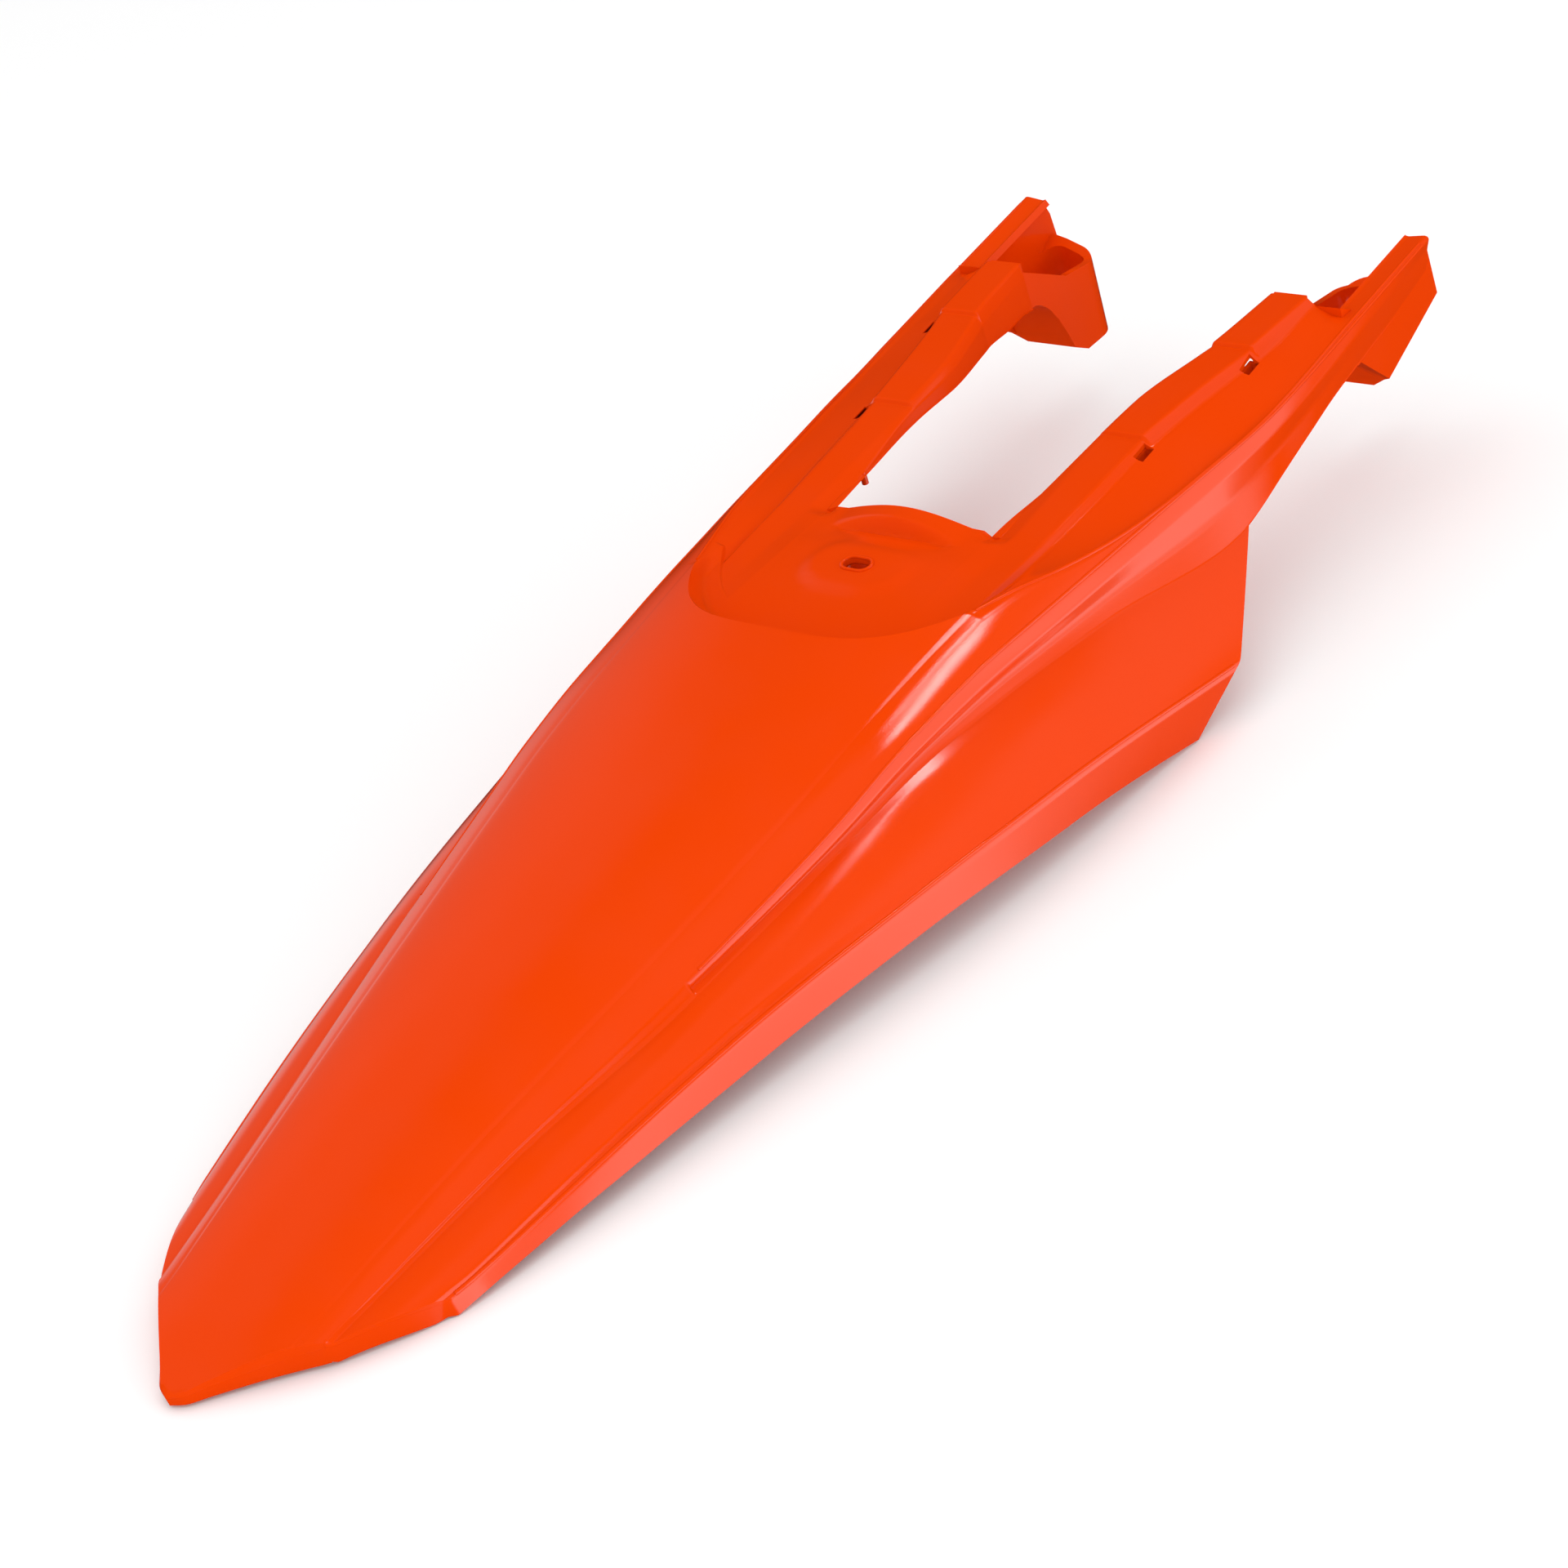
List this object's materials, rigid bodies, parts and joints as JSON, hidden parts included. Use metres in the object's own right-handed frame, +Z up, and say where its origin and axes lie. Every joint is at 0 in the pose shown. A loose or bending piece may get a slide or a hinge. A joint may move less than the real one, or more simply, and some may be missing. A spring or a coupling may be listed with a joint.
{
  "type": "motorcycle rear fender",
  "caption": "Moulded rear fender for an off-road motorcycle, with a domed tail, side wings, a sunken seat deck and forward arms ending in sockets.",
  "frame": {"origin": "under the middle of the bounding box, on the surface the fender rests on", "axes": "+Y forwards from the tail tip along the bike, +X to the right across the bike, +Z up"},
  "size_m": [0.2444, 0.7034, 0.093],
  "materials": {
    "plastic": "gloss"
  },
  "bodies": {
    "root": {"fender": "plastic"}
  },
  "joints": []
}
